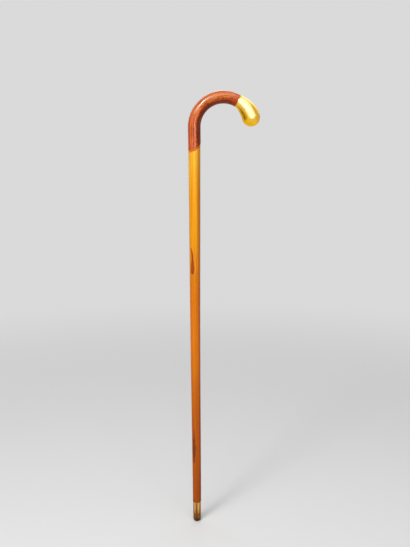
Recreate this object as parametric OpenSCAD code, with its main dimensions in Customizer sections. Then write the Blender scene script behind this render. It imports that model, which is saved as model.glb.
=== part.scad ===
// Walking cane with a bent crook handle, a gilt nose cap and a brass ferrule.
// The foot's centre is at the origin, the shaft stands up +Z and the nose points to +X.

/* [Whole cane] */
// Height from the floor to the top of the crook
cane_h = 888; // [840:1:940]
// Diameter of the crook's wood
grip_d = 24.8; // [23.6:0.1:27]
// Radius of the bend, to the middle of the wood
bend_r = 56; // [50:1:64]
// Angle that the bare wood bends through before it meets the nose cap
wood_sweep = 119.5; // [105:0.5:130]

/* [Shaft] */
// Diameter of the shaft just under the joint
shaft_top_d = 23.4; // [22:0.1:24.8]
// Diameter of the shaft just over the ferrule
shaft_foot_d = 17.6; // [17.2:0.1:20]

/* [Joint] */
// Distance from the top of the crook down to the middle of the joint
joint_drop = 106; // [102:1:130]
// Slope of the joint's face
joint_slope = 35; // [0:1:40]
// Direction in which the joint's face slopes down, counted from the nose
joint_turn = 233; // [0:1:359]
// How far the two edges are eased back at the joint
joint_ease = 1.5; // [0.4:0.1:2]
// Diameter of the dowel that holds the two sticks together
dowel_d = 10; // [8:0.5:12]
// Length of the dowel
dowel_len = 72; // [66:1:76]

/* [Nose cap] */
// Diameter of the cap's mouth
cap_mouth_d = 23.6; // [22.6:0.1:24]
// Diameter of the cap's bulb
cap_bulb_d = 34.8; // [28:0.1:38]
// Length along the bend from the mouth to the middle of the bulb
cap_len = 41; // [34:0.5:46]
// Thickness of the metal
cap_wall = 0.7; // [0.5:0.1:1.2]
// Diameter of the bead rolled round the mouth
bead_d = 1.4; // [1:0.1:1.8]
// Diameter of the wooden tenon inside the cap
tenon_d = 18; // [14:0.5:19]
// Angle of the bend that the tenon fills
tenon_sweep = 28; // [26:1:32]
// Diameter of the pin that fixes the cap
cap_pin_d = 1.8; // [1.2:0.1:2.4]

/* [Ferrule] */
// Outer diameter of the ferrule's tube
ferrule_d = 16.4; // [15.6:0.1:17]
// Thickness of the ferrule's tube
ferrule_wall = 0.8; // [0.6:0.1:1.2]
// Height of the ferrule's upper edge over the floor
ferrule_top = 43; // [38:1:60]
// Height of the steel tip that shows under the tube
tip_h = 18; // [12:1:20]
// Diameter of the pin that fixes the ferrule
ferrule_pin_d = 1.6; // [1.2:0.1:2]

/* [Hidden] */

$fn = 96;
segments = 40;
wood_red = [0.62, 0.25, 0.10];
wood_honey = [0.88, 0.58, 0.18];
wood_pale = [0.80, 0.66, 0.46];
gilt = [0.93, 0.74, 0.30];
brass = [0.76, 0.57, 0.30];
steel = [0.25, 0.17, 0.13];
resin = [0.30, 0.12, 0.07];

// The bend's middle and the cap's mouth
grip_r = grip_d / 2;
bend_z = cane_h - grip_r - bend_r;
mouth_a = 180 - wood_sweep;
degree = 180 / PI;

// The joint and the dowel in it
joint_z = cane_h - joint_drop;
joint_fall = tan(joint_slope);
ease_h = 1.6 * joint_ease;
ease_steps = 5;
glue = 0.05;
dowel_below = 40;
dowel_chamfer = 1.5;

// The cap's swell, from a slow start to the full bulb
mouth_r = cap_mouth_d / 2;
bulb_r = cap_bulb_d / 2;
bead_r = bead_d / 2;
swell_power = 1.3;
swell_steps = 8;
bead_steps = 4;
nose_steps = 7;
nose_turn = 89;
mouth_cut = 0.5;
edge_ease = 0.6;
edge_ease_h = 1.8;
edge_steps = 3;
edge_step = 0.1;
edge_root = 1.5;
tenon_steps = 5;
tenon_lead = 3;
tenon_lead_d = 12;

// Where the cap's pin goes in, along the bend and inside its middle line
cap_pin_along = 21;
cap_pin_inside = 4;
cap_pin_proud = 0.3;
cap_pin_foot = 3;

// The ferrule's seat, tip and pin
ferrule_r = ferrule_d / 2;
seat_r = ferrule_r - ferrule_wall - glue;
stem_h = 8;
seat_z = tip_h + stem_h;
shoulder_ease = 0.7;
shoulder_ease_h = 1.2;
tip_round = 3;
tip_round_h = 5;
tip_steps = 6;
ferrule_pin_z = (seat_z + ferrule_top) / 2;
ferrule_pin_foot = 2;
ferrule_pin_sunk = 0.05;
pin_dome = 0.3;

// Rings of points

// Level ring round the shaft's middle line
function level_ring(r, z) = [for (i = [0:segments - 1])
    let (a = 360 * i / segments)
    [r * cos(a), r * sin(a), z]];

// Ring that follows the joint's sloping face at a distance up or down
function joint_ring(r, up) = [for (i = [0:segments - 1])
    let (a = 360 * i / segments)
    [r * cos(a), r * sin(a), joint_z + up - joint_fall * r * cos(a - joint_turn)]];

// Ring square to the bend at an angle, moved ahead along the tangent there
function bend_ring(angle, r, ahead = 0) = [for (i = [0:segments - 1])
    let (a = 360 * i / segments, reach = bend_r + r * cos(a))
    [
        bend_r + reach * cos(angle) + ahead * sin(angle),
        -r * sin(a),
        bend_z + reach * sin(angle) - ahead * cos(angle)
    ]];

// Radius of the cap's metal at a distance along the bend from its mouth
function swell(s) = mouth_r + (bulb_r - mouth_r) * pow(sin(90 * min(1, max(0, s / cap_len))), swell_power);

// Height of the mouth's bead over the metal
function bead(s) = bead_r * sqrt(max(0, 1 - pow(s / bead_r - 1, 2)));

// Angle on the bend at a distance past the cap's mouth
function past_mouth(s) = mouth_a - s / bend_r * degree;

// Rings round the mouth's bead
function bead_rings() = [for (k = [0:bead_steps - 1])
    let (s = bead_d * k / bead_steps)
    bend_ring(past_mouth(s), swell(s) + bead(s))];

// Rings over the swell and the bulb to the nose, at a depth under the cap's outer face
function bulb_rings(depth, start = 0) = concat(
    [for (k = [0:swell_steps])
        let (s = start + (cap_len - start) * k / swell_steps)
        bend_ring(past_mouth(s), swell(s) - depth)],
    [for (k = [1:nose_steps])
        let (t = nose_turn * k / nose_steps, r = bulb_r - depth)
        bend_ring(past_mouth(cap_len), r * cos(t), r * sin(t))]
);

// Rings of the crook's tenon from inside the bend to its tapered lead
function tenon_rings() = concat(
    [for (k = [0:tenon_steps]) bend_ring(mouth_a - tenon_sweep * k / tenon_steps, tenon_d / 2)],
    [bend_ring(mouth_a - tenon_sweep, tenon_lead_d / 2, tenon_lead)]
);

// Rings of the crook's eased edge, from inside the bend to the cap's mouth
function edge_rings() = concat(
    [bend_ring(past_mouth(-edge_ease_h - edge_root), grip_r - 2 * edge_step)],
    [for (k = [0:edge_steps])
        let (a = 90 * k / edge_steps)
        bend_ring(past_mouth(-edge_ease_h * (1 - sin(a))), grip_r - edge_step - edge_ease * (1 - cos(a)))]
);

// Shared shapes

// Closed solid through rings that all have the same number of points
module loft(rings) {
    n = len(rings[0]);
    last = len(rings) - 1;
    sides = [for (k = [0:last - 1], i = [0:n - 1])
        let (j = (i + 1) % n)
        [k * n + i, (k + 1) * n + i, (k + 1) * n + j, k * n + j]];
    first_end = [[for (i = [0:n - 1]) i]];
    last_end = [[for (i = [n - 1:-1:0]) last * n + i]];
    polyhedron([for (r = rings) each r], concat(first_end, sides, last_end), convexity = 4);
}

// Round bar that starts on the shaft's middle line and follows the bend
module bend_bar(r, sweep) {
    translate([bend_r, 0, bend_z])
        mirror([1, 0, 0])
            rotate([90, 0, 0])
                rotate_extrude(angle = sweep)
                    translate([bend_r, 0])
                        circle(r = r);
}

// Stick's end cut along the joint's face, above it for side 1 and below it for side -1
module joint_end(r, side) {
    rounding = [for (k = [0:ease_steps])
        let (a = 90 * k / ease_steps)
        joint_ring(r - joint_ease * (1 - sin(a)), side * ease_h * (1 - cos(a)))];
    level = level_ring(r - edge_step, joint_z + side * joint_end_h());
    root = level_ring(r - 2 * edge_step, joint_z + side * (joint_end_h() + edge_root));
    away = [each rounding, level, root];
    loft(side > 0 ? away : [for (k = [len(away) - 1:-1:0]) away[k]]);
}

// Height of a stick's sloping end, from the middle of the joint to its level side
function joint_end_h() = ceil(joint_fall * grip_r + ease_h) + 2;

// Shaft of a pin that lies along Y, domed at the end that shows
module pin(r, inner_y, outer_y) {
    way = sign(outer_y - inner_y);
    rotate([-90 * way, 0, 0])
        translate([0, 0, way * inner_y]) {
            cylinder(r = r, h = abs(outer_y - inner_y) - pin_dome);
            translate([0, 0, abs(outer_y - inner_y) - pin_dome])
                cylinder(r1 = r, r2 = 0.6 * r, h = pin_dome);
        }
}

// Moves its children to the place of the cap's pin
module at_cap_pin() {
    angle = mouth_a - cap_pin_along / bend_r * degree;
    reach = bend_r - cap_pin_inside;
    translate([bend_r + reach * cos(angle), 0, bend_z + reach * sin(angle)])
        children();
}

// Height of the cap's face over the middle plane where its pin comes out
function cap_pin_y() = sqrt(pow(swell(cap_pin_along), 2) - pow(cap_pin_inside, 2));

module cap_pin_hole() {
    at_cap_pin()
        rotate([90, 0, 0])
            cylinder(d = cap_pin_d, h = 2 * bulb_r - cap_pin_foot);
}

module ferrule_pin_hole() {
    translate([0, ferrule_pin_foot, ferrule_pin_z])
        rotate([-90, 0, 0])
            cylinder(d = ferrule_pin_d, h = ferrule_r);
}

// The pieces

// Red-brown crook: an eased lower end, a straight neck, the bend, and a tenon under the cap
module crook() {
    neck_z = joint_z + joint_end_h();
    color(wood_red)
        difference() {
            union() {
                joint_end(grip_r, 1);
                translate([0, 0, neck_z])
                    cylinder(r = grip_r, h = bend_z - neck_z);
                bend_bar(grip_r, 180 - past_mouth(-edge_ease_h));
                loft(concat(edge_rings(), tenon_rings()));
            }
            translate([0, 0, joint_z - dowel_below])
                cylinder(d = dowel_d + 2 * glue, h = dowel_len + 1);
            cap_pin_hole();
        }
}

// Honey-coloured shaft: a long even taper, a sloping top end and a seat for the ferrule
module shaft() {
    top_z = joint_z - joint_end_h();
    slope = (shaft_top_d - shaft_foot_d) / (top_z - ferrule_top);
    eased_d = shaft_foot_d + slope * shoulder_ease_h;
    color(wood_honey)
        difference() {
            union() {
                joint_end(shaft_top_d / 2, -1);
                translate([0, 0, ferrule_top + shoulder_ease_h])
                    cylinder(d1 = eased_d, d2 = shaft_top_d, h = top_z - ferrule_top - shoulder_ease_h);
                translate([0, 0, ferrule_top])
                    cylinder(d1 = eased_d - 2 * shoulder_ease, d2 = eased_d, h = shoulder_ease_h);
                translate([0, 0, seat_z])
                    cylinder(r = seat_r, h = ferrule_top - seat_z);
            }
            translate([0, 0, joint_z - dowel_below - 1])
                cylinder(d = dowel_d + 2 * glue, h = dowel_len);
            ferrule_pin_hole();
        }
}

// Hidden hardwood dowel, glued into both sticks
module joint_dowel() {
    color(wood_pale)
        translate([0, 0, joint_z - dowel_below]) {
            cylinder(d1 = dowel_d - 2 * dowel_chamfer, d2 = dowel_d, h = dowel_chamfer);
            translate([0, 0, dowel_chamfer])
                cylinder(d = dowel_d, h = dowel_len - 2 * dowel_chamfer);
            translate([0, 0, dowel_len - dowel_chamfer])
                cylinder(d1 = dowel_d, d2 = dowel_d - 2 * dowel_chamfer, h = dowel_chamfer);
        }
}

// Gilt shell that swells along the bend from its beaded mouth to the bulb
module nose_cap() {
    color(gilt)
        difference() {
            loft(concat(bead_rings(), bulb_rings(0, bead_d)));
            loft(concat([bend_ring(past_mouth(-mouth_cut), mouth_r - cap_wall)], bulb_rings(cap_wall)));
            cap_pin_hole();
        }
}

// Hard resin that fills the cap round the tenon
module cap_filler() {
    color(resin)
        difference() {
            loft(bulb_rings(cap_wall));
            loft(concat([bend_ring(past_mouth(-mouth_cut), tenon_d / 2)], tenon_rings()));
            cap_pin_hole();
        }
}

// Pin through the front of the cap into the tenon
module cap_pin() {
    color(brass)
        at_cap_pin()
            pin(cap_pin_d / 2, -cap_pin_foot, -cap_pin_y() - cap_pin_proud);
}

// Brass tube round the shaft's foot
module ferrule() {
    color(brass)
        difference() {
            translate([0, 0, tip_h])
                cylinder(r = ferrule_r, h = ferrule_top - tip_h);
            translate([0, 0, tip_h - 1])
                cylinder(r = ferrule_r - ferrule_wall, h = ferrule_top - tip_h + 2);
            ferrule_pin_hole();
        }
}

// Worn steel tip, rounded below, with a stem brazed into the tube
module ferrule_tip() {
    worn_edge = [for (k = [0:tip_steps])
        let (a = 90 * k / tip_steps)
        [ferrule_r - tip_round * (1 - sin(a)), tip_round_h * (1 - cos(a))]];
    color(steel)
        rotate_extrude()
            polygon([
                [0, 0],
                each worn_edge,
                [ferrule_r, tip_h],
                [ferrule_r - ferrule_wall, tip_h],
                [ferrule_r - ferrule_wall, seat_z],
                [0, seat_z]
            ]);
}

// Pin through the back of the tube into the shaft's foot, filed flush
module ferrule_pin() {
    color(brass)
        translate([0, 0, ferrule_pin_z])
            pin(ferrule_pin_d / 2, ferrule_pin_foot, ferrule_r - ferrule_pin_sunk);
}

crook();
shaft();
joint_dowel();
nose_cap();
cap_filler();
cap_pin();
ferrule();
ferrule_tip();
ferrule_pin();
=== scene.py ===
import math

import bmesh
import bpy
from bpy.props import FloatProperty, FloatVectorProperty, IntProperty, PointerProperty
from mathutils import Matrix, Vector


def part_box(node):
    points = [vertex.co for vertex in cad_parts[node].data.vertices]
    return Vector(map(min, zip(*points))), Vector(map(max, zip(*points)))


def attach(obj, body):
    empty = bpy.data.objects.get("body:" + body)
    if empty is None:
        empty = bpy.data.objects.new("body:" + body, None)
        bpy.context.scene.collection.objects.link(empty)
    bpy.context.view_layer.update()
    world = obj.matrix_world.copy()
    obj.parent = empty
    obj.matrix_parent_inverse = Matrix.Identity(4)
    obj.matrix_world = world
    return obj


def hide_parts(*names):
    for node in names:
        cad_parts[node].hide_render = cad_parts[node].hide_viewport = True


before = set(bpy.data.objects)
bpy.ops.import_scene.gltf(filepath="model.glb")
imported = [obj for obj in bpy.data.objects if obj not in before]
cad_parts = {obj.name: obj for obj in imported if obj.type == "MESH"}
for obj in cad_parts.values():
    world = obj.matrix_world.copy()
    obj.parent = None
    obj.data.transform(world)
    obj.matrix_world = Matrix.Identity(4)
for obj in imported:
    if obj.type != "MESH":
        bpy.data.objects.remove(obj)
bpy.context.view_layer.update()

bl_info = {
    "name": "Walking Cane",
    "version": (1, 0, 0),
    "blender": (4, 5, 0),
    "location": "3D View > Sidebar > Cane",
    "description": "Models and finishes a walking cane with a bent crook and a gilt nose cap",
    "category": "Add Mesh",
}

MM = 0.001
UP = math.pi

# Places that the frame gives
CROOK_LOW, CROOK_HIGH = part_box("crook")
SHAFT_LOW, SHAFT_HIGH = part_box("shaft")
CAP_LOW, CAP_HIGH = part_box("nose_cap")
FILLER_LOW, FILLER_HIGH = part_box("cap_filler")
TUBE_LOW, TUBE_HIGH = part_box("ferrule")
TIP_LOW, TIP_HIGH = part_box("ferrule_tip")
DOWEL_LOW, DOWEL_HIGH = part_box("joint_dowel")
CAP_PIN_LOW, CAP_PIN_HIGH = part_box("cap_pin")
TUBE_PIN_LOW, TUBE_PIN_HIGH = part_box("ferrule_pin")

# Healed scar on the front left of the shaft: its heights, and its places round the stick from the front
SCAR_FOOT, SCAR_HEAD = 531 * MM, 594 * MM
SCAR_SIDE, SCAR_LEAN, SCAR_HOOK = -6.0 * MM, 1.6 * MM, 8.6 * MM
SCAR_HALF, SCAR_TAIL = 4.9 * MM, 2.6 * MM
SCAR_FAR = 5.0


def linear(red, green, blue):
    """Turns a colour written from 0 to 255, as on a screen, into the linear values that shaders use."""
    def one(value):
        v = value / 255
        return v / 12.92 if v <= 0.04045 else ((v + 0.055) / 1.055) ** 2.4
    return one(red), one(green), one(blue)


def length(name, description, millimetres):
    return FloatProperty(name=name, description=description, default=millimetres * MM,
                         subtype="DISTANCE", unit="LENGTH", precision=5)


def turn(name, description, degrees):
    return FloatProperty(name=name, description=description, default=math.radians(degrees),
                         subtype="ANGLE", unit="ROTATION")


def paint(name, description, *rgb):
    return FloatVectorProperty(name=name, description=description, default=linear(*rgb),
                               subtype="COLOR", min=0, max=1)


# Sizes and finishes


class CaneSizes(bpy.types.PropertyGroup):
    bend_radius: length("Bend radius", "From the bend's middle to the middle of the wood", 56)
    wood_sweep: turn("Wood's sweep", "Angle that the bare wood bends through before the cap", 119.5)
    joint_drop: length("Joint's drop", "From the top of the crook to the middle of the joint", 106)
    joint_slope: turn("Joint's slope", "Slope of the joint's face", 35)
    joint_turn: turn("Joint's direction", "Direction in which the joint slopes down, from the nose", 233)
    joint_ease: length("Joint's ease", "How far both edges are rounded at the joint", 1.7)
    shaft_top: length("Shaft's top", "Radius of the shaft under the joint", 11.7)
    shaft_foot: length("Shaft's foot", "Radius of the shaft over the ferrule", 8.8)
    bow: length("Bow", "How far the shaft's middle bows away from the nose", 0.8)
    unevenness: length("Unevenness", "Depth of the shallow waves that hand scraping leaves", 0.28)
    scar_depth: length("Scar's depth", "Depth of the healed scar on the shaft", 0.35)
    segments: IntProperty(name="Segments", description="Sides of every round piece", default=96)


class CapSizes(bpy.types.PropertyGroup):
    mouth: length("Mouth", "Radius of the cap's mouth", 11.8)
    run: length("Length", "Along the bend from the mouth to the middle of the bulb", 41)
    wall: length("Wall", "Thickness of the metal", 0.7)
    bead: length("Bead", "Radius of the bead rolled round the mouth", 0.7)
    swell_power: FloatProperty(name="Swell", description="How late the swell sets in", default=1.3)
    tenon: length("Tenon", "Radius of the wooden tenon in the cap", 9)
    tenon_sweep: turn("Tenon's sweep", "Angle of the bend that the tenon fills", 28)
    dents: length("Dents", "Depth of the shallow dents in the metal", 0.1)
    polish: length("Polish", "Metal that polishing has taken off the bulb", 0.08)


class FerruleSizes(bpy.types.PropertyGroup):
    wall: length("Wall", "Thickness of the brass tube", 0.8)
    edge: length("Edge", "How far the tube's edges are rounded", 0.2)
    tip_round: length("Tip's round", "How far the steel tip is worn round, sideways", 3)
    tip_round_height: length("Tip's round height", "Height of the worn round", 5)
    shoulder: length("Shoulder", "How far the shaft's lower edge is eased", 0.7)


class Finishes(bpy.types.PropertyGroup):
    crook_neck: paint("Crook's neck", "Red-brown stain on the neck's outer side", 211, 92, 14)
    # crook_crown is partly hand wear and partly a painted sheen on the top of the bend.
    crook_crown: paint("Crook's crown", "Orange where hands have worn the top of the bend", 208, 110, 20)
    crook_side: paint("Crook's side", "Brown stain on the cheeks of the bend", 176, 72, 8)
    crook_inner: paint("Crook's inside", "Dark stain on the inner side of the bend", 112, 32, 2)
    crook_mottle: paint("Crook's mottle", "Darkest patches of the stain", 80, 22, 2)
    # crook_red also paints shade along the outer edge of the bend.
    crook_red: paint("Crook's red", "Redder stain beside the cap", 172, 42, 12)
    crook_thin: paint("Thin stain", "Orange where the stain runs out at the joint", 212, 112, 8)
    shaft_top: paint("Shaft's top", "Honey colour under the joint", 246, 183, 46)
    shaft_upper: paint("Shaft's upper part", "Golden orange in the upper third", 231, 154, 12)
    shaft_middle: paint("Shaft's middle", "Orange-brown at half height", 220, 122, 5)
    shaft_lower: paint("Shaft's lower part", "Brown in the lower third", 184, 90, 6)
    shaft_foot: paint("Shaft's foot", "Red-brown over the ferrule", 170, 80, 8)
    stain: paint("Stain", "Dark stain on the lower part of the shaft", 104, 42, 5)
    scar: paint("Scar", "Dark bark left in the healed scar", 158, 66, 4)
    scar_rim: paint("Scar's rim", "Pale new wood round the healed scar", 250, 168, 60)
    # The gilt colours paint the cap's reflections: a pale painted highlight on the crown, a dull painted reflection
    # along the outer side, painted amber reflections on the inner side and underneath, and a dark painted reflection
    # in the waist.
    gilt_pale_highlight: paint("Gilt, worn", "Pale gold on the crown of the cap", 255, 224, 146)
    gilt_rim_reflection: paint("Gilt, rim", "Full gold along the outer side of the cap", 240, 188, 78)
    gilt_amber_reflection: paint("Gilt, deep", "Amber gold on the inner side and the nose", 248, 192, 44)
    gilt_dark_reflection: paint("Gilt, dull", "Olive tarnish in the hollow of the cap's waist", 128, 92, 10)
    brass: paint("Brass", "Dull brass of the ferrule", 226, 176, 104)
    # brass_dark also paints the ferrule's reflection streaks and its shade towards the bottom.
    brass_dark: paint("Brass, tarnished", "Brown tarnish on the ferrule", 146, 88, 30)
    steel: paint("Steel", "Browned steel of the tip", 156, 100, 40)
    steel_bright: paint("Steel, bright", "Worn steel at the tip's edge", 176, 132, 92)
    dirt: paint("Dirt", "Grime in the seams", 48, 24, 10)


class StageSettings(bpy.types.PropertyGroup):
    backdrop: FloatProperty(name="Backdrop", description="Lightness of the backdrop", default=0.7)
    fill: FloatProperty(name="Fill", description="Strength of the even light from all sides", default=0.1)
    front: FloatProperty(name="Front light", description="Brightness of the broad front light", default=1.95)
    low: FloatProperty(name="Low light", description="Brightness of the front light's lower part", default=0.6)
    lamp: FloatProperty(name="Lamp", description="Brightness of the small lamp at the upper left", default=19.0)
    halo: FloatProperty(name="Halo", description="Brightness of the soft disc round the lamp", default=3.6)
    strip: FloatProperty(name="Strips", description="Brightness of the two tall strips", default=11.0)
    top: FloatProperty(name="Top light", description="Brightness of the soft light overhead", default=0.8)
    back: FloatProperty(name="Back lights", description="Brightness of the two soft lights behind", default=1.1)


def sizes():
    return bpy.context.scene.cane_sizes


def cap_sizes():
    return bpy.context.scene.cane_cap


def ferrule_sizes():
    return bpy.context.scene.cane_ferrule


def finishes():
    return bpy.context.scene.cane_finishes


def staging():
    return bpy.context.scene.cane_stage


# Places along the cane


def grip_radius():
    return -CROOK_LOW.x


def bend_centre():
    return Vector((sizes().bend_radius, 0, CROOK_HIGH.z - grip_radius() - sizes().bend_radius))


def joint_middle():
    return Vector((0, 0, CROOK_HIGH.z - sizes().joint_drop))


def joint_normal():
    """Upward direction square to the joint's sloping face, scaled so that its height is 1."""
    fall = math.tan(sizes().joint_slope)
    return Vector((fall * math.cos(sizes().joint_turn), fall * math.sin(sizes().joint_turn), 1))


def place(angle, ahead=0.0):
    """Point on the middle line at an angle round the bend, moved ahead along the tangent there."""
    return bend_centre() + Vector((
        sizes().bend_radius * math.cos(angle) + ahead * math.sin(angle),
        0,
        sizes().bend_radius * math.sin(angle) - ahead * math.cos(angle)))


def upright(height, radius):
    """Station on the straight middle line under the bend."""
    return UP, height - bend_centre().z, radius


def mouth_angle():
    return UP - sizes().wood_sweep


def past_mouth(along):
    return mouth_angle() - along / sizes().bend_radius


def bulb_radius():
    return CAP_HIGH.y - cap_sizes().polish


def swell(along):
    """Radius of the cap at a distance along the bend from its mouth."""
    cap = cap_sizes()
    share = math.sin(math.pi / 2 * min(1.0, max(0.0, along / cap.run)))
    return cap.mouth + (bulb_radius() - cap.mouth) * share ** cap.swell_power


def grain_place(point):
    """Place of a point on the cane as if the bend were straight, for grain that follows the wood."""
    middle = bend_centre()
    away = point - middle
    if away.z <= 0 and away.x <= 0:
        return point.copy()
    angle = math.atan2(away.z, away.x)
    reach = math.hypot(away.x, away.z)
    return Vector((middle.x - reach, point.y, middle.z + (UP - angle) * middle.x))


# Modelling steps


def deselect_all():
    if bpy.context.object and bpy.context.object.mode != "OBJECT":
        bpy.ops.object.mode_set(mode="OBJECT")
    bpy.ops.object.select_all(action="DESELECT")


def start_ring(name, centre, radius, rotation=(0, 0, 0), segments=None):
    """Starts a piece as an open ring, and leaves it in edit mode with the ring selected."""
    deselect_all()
    bpy.ops.mesh.primitive_circle_add(vertices=segments or sizes().segments, radius=radius,
                                      fill_type="NOTHING", location=centre, rotation=rotation)
    piece = bpy.context.object
    piece.name = name
    piece.data.name = name
    bpy.ops.object.transform_apply(location=True, rotation=True, scale=True)
    bpy.ops.object.mode_set(mode="EDIT")
    bpy.ops.mesh.select_mode(type="EDGE")
    bpy.ops.mesh.select_all(action="SELECT")
    return piece


def push_ring(move, ratio, centre):
    """Extrudes the selected ring by a move and scales the new ring about its own centre."""
    bpy.ops.mesh.extrude_region_move(TRANSFORM_OT_translate={"value": move})
    if abs(ratio - 1) > 1e-9:
        bpy.ops.transform.resize(value=(ratio, ratio, ratio), center_override=centre)


def carry_ring(stations):
    """Carries the selected ring through stations, each an angle on the bend, a way ahead and a radius."""
    for (angle, ahead, radius), (next_angle, next_ahead, next_radius) in zip(stations, stations[1:]):
        push_ring((0, 0, 0), 1, (0, 0, 0))
        if abs(next_angle - angle) > 1e-9:
            bpy.ops.transform.rotate(value=next_angle - angle, orient_axis="Y", orient_type="GLOBAL",
                                     center_override=bend_centre())
        move = place(next_angle, next_ahead) - place(next_angle, ahead)
        if move.length > 1e-9:
            bpy.ops.transform.translate(value=move)
        ratio = next_radius / radius
        bpy.ops.transform.resize(value=(ratio, ratio, ratio),
                                 center_override=place(next_angle, next_ahead))


def ring_through(name, stations):
    """Makes a piece from a ring that starts at the first station and is carried through the rest."""
    angle, ahead, radius = stations[0]
    piece = start_ring(name, place(angle, ahead), radius, (0, UP - angle, 0))
    carry_ring(stations)
    return piece


def choose_points(test):
    """Selects the points of the piece in edit mode whose place passes a test."""
    mesh = bmesh.from_edit_mesh(bpy.context.object.data)
    bpy.ops.mesh.select_mode(type="VERT")
    for point in mesh.verts:
        point.select_set(test(point.co))
    mesh.select_flush_mode()
    bmesh.update_edit_mesh(bpy.context.object.data)
    bpy.ops.mesh.select_mode(type="EDGE")


def choose_long_edges(shortest):
    """Selects the edges of the piece in edit mode that are longer than a length."""
    mesh = bmesh.from_edit_mesh(bpy.context.object.data)
    bpy.ops.mesh.select_mode(type="EDGE")
    bpy.ops.mesh.select_all(action="DESELECT")
    for edge in mesh.edges:
        edge.select_set(edge.calc_length() > shortest)
    bmesh.update_edit_mesh(bpy.context.object.data)


def close_pole(middle, reach):
    """Draws the small ring round a pole together into one point."""
    choose_points(lambda co: (co - middle).length < reach)
    bpy.ops.mesh.merge(type="CENTER")


def fill_ring(test):
    choose_points(test)
    bpy.ops.mesh.edge_face_add()


def cut_joint(keep_above):
    """Cuts the stick in edit mode along the joint's sloping face, closes it and rounds the rim."""
    bpy.ops.mesh.select_all(action="SELECT")
    bpy.ops.mesh.bisect(plane_co=joint_middle(), plane_no=joint_normal().normalized(), use_fill=True,
                        clear_inner=keep_above, clear_outer=not keep_above)
    bpy.ops.mesh.bevel(offset=sizes().joint_ease, segments=6, affect="EDGES", profile=0.5)


def subdivide_long(shortest, cuts):
    choose_long_edges(shortest)
    bpy.ops.mesh.subdivide(number_cuts=cuts)


def close_up():
    """Merges doubled points, turns all faces outwards and leaves edit mode."""
    bpy.ops.mesh.select_all(action="SELECT")
    bpy.ops.mesh.remove_doubles(threshold=0.002 * MM)
    bpy.ops.mesh.normals_make_consistent(inside=False)
    bpy.ops.object.mode_set(mode="OBJECT")


def weigh(piece, name, weight):
    """Gives a piece a vertex group whose weights follow a function of the place."""
    group = piece.vertex_groups.new(name=name)
    for point in piece.data.vertices:
        group.add([point.index], weight(point.co), "REPLACE")
    return group.name


def displace(piece, strength, group, direction="NORMAL", texture=None):
    """Moves a piece's surface by a strength, by its group's weights and a texture's lightness."""
    modifier = piece.modifiers.new("displace", "DISPLACE")
    modifier.strength = strength
    modifier.direction = direction
    modifier.vertex_group = group
    modifier.texture_coords = "LOCAL"
    modifier.mid_level = 0
    if texture:
        modifier.texture = texture
    deselect_all()
    bpy.context.view_layer.objects.active = piece
    bpy.ops.object.modifier_apply(modifier=modifier.name)


def waves(name, size):
    """Soft cloud texture whose waves are about as long as a size."""
    texture = bpy.data.textures.get(name) or bpy.data.textures.new(name, "CLOUDS")
    texture.noise_scale = size
    texture.noise_depth = 1
    return texture


def drill(piece, start, end, radius):
    """Drills a round hole through a piece from one point to another."""
    deselect_all()
    way = end - start
    rotation = way.to_track_quat("Z", "Y").to_euler()
    bpy.ops.mesh.primitive_cylinder_add(vertices=48, radius=radius, depth=way.length,
                                        location=(start + end) / 2, rotation=rotation)
    cutter = bpy.context.object
    modifier = piece.modifiers.new("drill", "BOOLEAN")
    modifier.operation = "DIFFERENCE"
    modifier.solver = "EXACT"
    modifier.object = cutter
    deselect_all()
    bpy.context.view_layer.objects.active = piece
    bpy.ops.object.modifier_apply(modifier=modifier.name)
    bpy.data.objects.remove(cutter)


def finish_piece(piece, node, material, sharp=40):
    """Smooths, paints and seats a piece, and lets it stand for its node."""
    deselect_all()
    piece.select_set(True)
    bpy.context.view_layer.objects.active = piece
    bpy.ops.object.shade_smooth_by_angle(angle=math.radians(sharp))
    deselect_all()
    grain = piece.data.attributes.new("along_grain", "FLOAT_VECTOR", "POINT")
    for point, value in zip(piece.data.vertices, grain.data):
        value.vector = grain_place(point.co)
    piece.vertex_groups.clear()
    piece.data.materials.clear()
    piece.data.materials.append(material)
    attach(piece, "root")
    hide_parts(node)


# The pieces


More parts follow.
